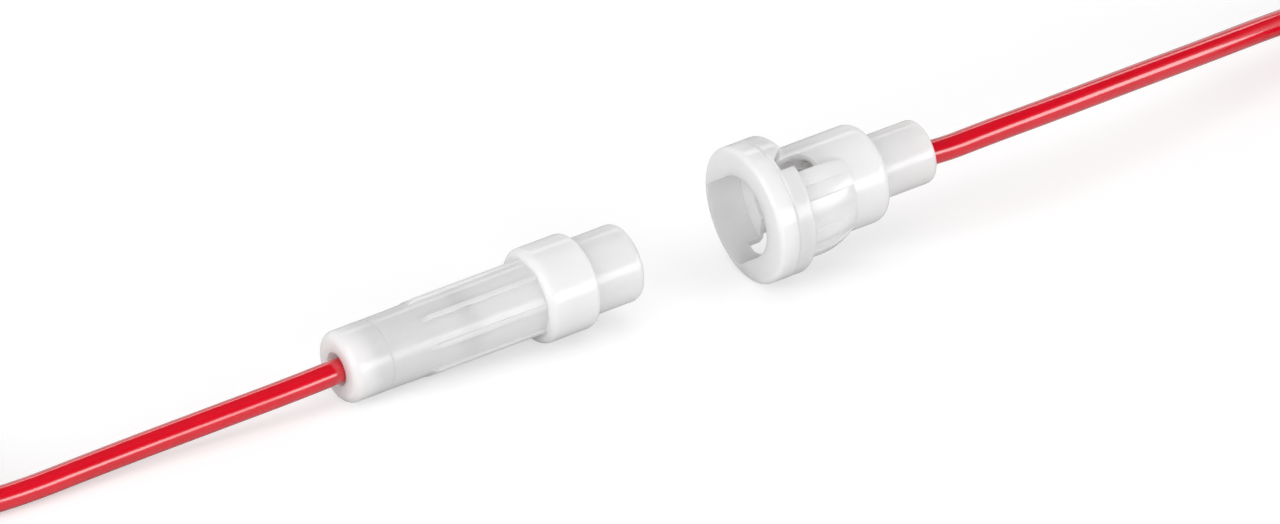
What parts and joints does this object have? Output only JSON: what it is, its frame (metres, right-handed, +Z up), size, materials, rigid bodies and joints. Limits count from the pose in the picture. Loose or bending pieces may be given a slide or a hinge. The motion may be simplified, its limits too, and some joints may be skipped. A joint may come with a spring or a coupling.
{
  "type": "inline fuse holder",
  "caption": "Inline holder for a small cartridge fuse: a ribbed plug and a socket in pale plastic, pulled apart, each on its own red lead.",
  "frame": {"origin": "on the surface the holder lies on, midway along and across the two halves", "axes": "+X from the plug half to the socket half, +Z up; the halves' common axis rises 4.2 degrees towards +X"},
  "size_m": [0.2099, 0.0199, 0.0126],
  "materials": {
    "housing": "satin natural nylon, slightly see-through",
    "insulation": "glossy soft PVC",
    "contact": "nickel-plated brass",
    "spring": "bright drawn wire",
    "tie": "matt black",
    "strand": "tinned copper strands"
  },
  "bodies": {
    "plug": {"plug_housing": "housing", "contact_spring": "spring"},
    "plug_wiring": {"plug_contact": "contact", "plug_lead": "insulation", "plug_lead_hank": "insulation", "plug_lead_tie": "tie", "plug_lead_tip": "strand"},
    "socket_wiring": {"socket_contact": "contact", "socket_lead": "insulation", "socket_lead_hank": "insulation", "socket_lead_tie": "tie", "socket_lead_tip": "strand"},
    "socket": {"socket_housing": "housing"}
  },
  "joints": [
    {"name": "contact_travel", "type": "slide", "parent": "plug", "child": "plug_wiring", "axis": [-0.9973, 0, -0.0729], "range_m": [0, 0.003], "stiffness_N_per_m": 400, "deforming": ["contact_spring"]},
    {"name": "holder_closing", "type": "slide", "parent": "plug", "child": "socket_wiring", "axis": [-0.9973, 0, -0.0729], "range_m": [-0.01, 0.0169]},
    {"name": "socket_twist", "type": "hinge", "parent": "socket_wiring", "child": "socket", "pos_m": [0.01147, 0, 0.00619], "axis": [0.9973, 0, 0.0729], "range_deg": [0, 90]}
  ]
}
